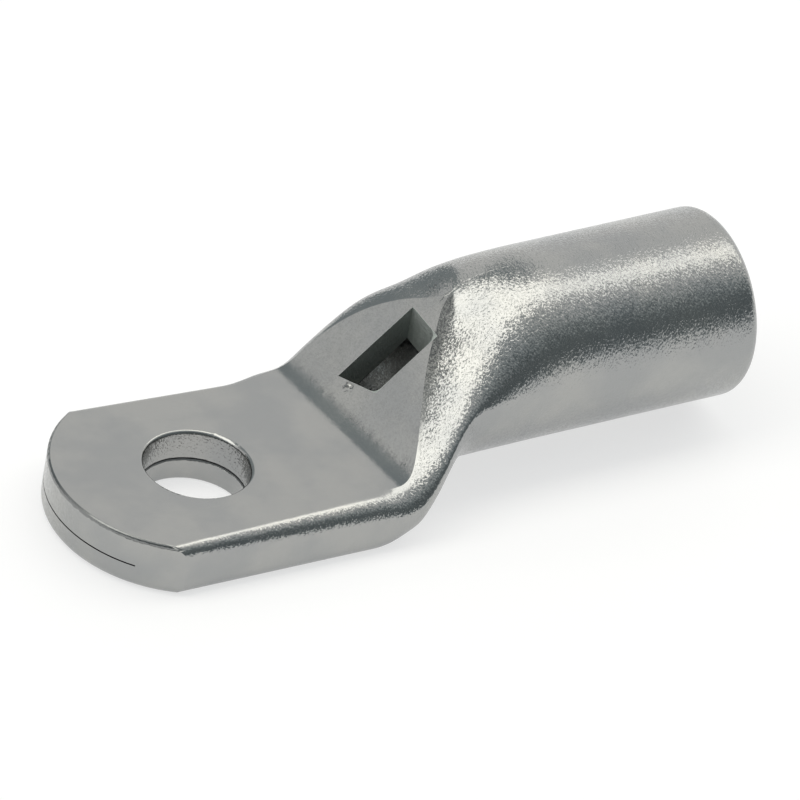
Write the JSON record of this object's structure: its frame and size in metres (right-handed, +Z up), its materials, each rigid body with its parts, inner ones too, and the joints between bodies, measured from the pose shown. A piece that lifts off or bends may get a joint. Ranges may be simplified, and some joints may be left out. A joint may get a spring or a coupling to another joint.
{
  "type": "tubular cable lug",
  "caption": "Tubular cable lug: a round barrel for a stranded conductor, pressed flat at one end into a two-layer palm with a bolt hole, with an inspection window in the ramp between them.",
  "frame": {"origin": "centre of the bolt hole on the palm's contact face", "axes": "+X along the barrel towards its open mouth, +Z up, out of the contact face through the palm, +Y across the palm"},
  "size_m": [0.0585, 0.0196, 0.016],
  "materials": {
    "tinned_copper": "satin tin plating on copper, lightly speckled from tumbling"
  },
  "bodies": {
    "root": {"cable_lug": "tinned_copper"}
  },
  "joints": []
}
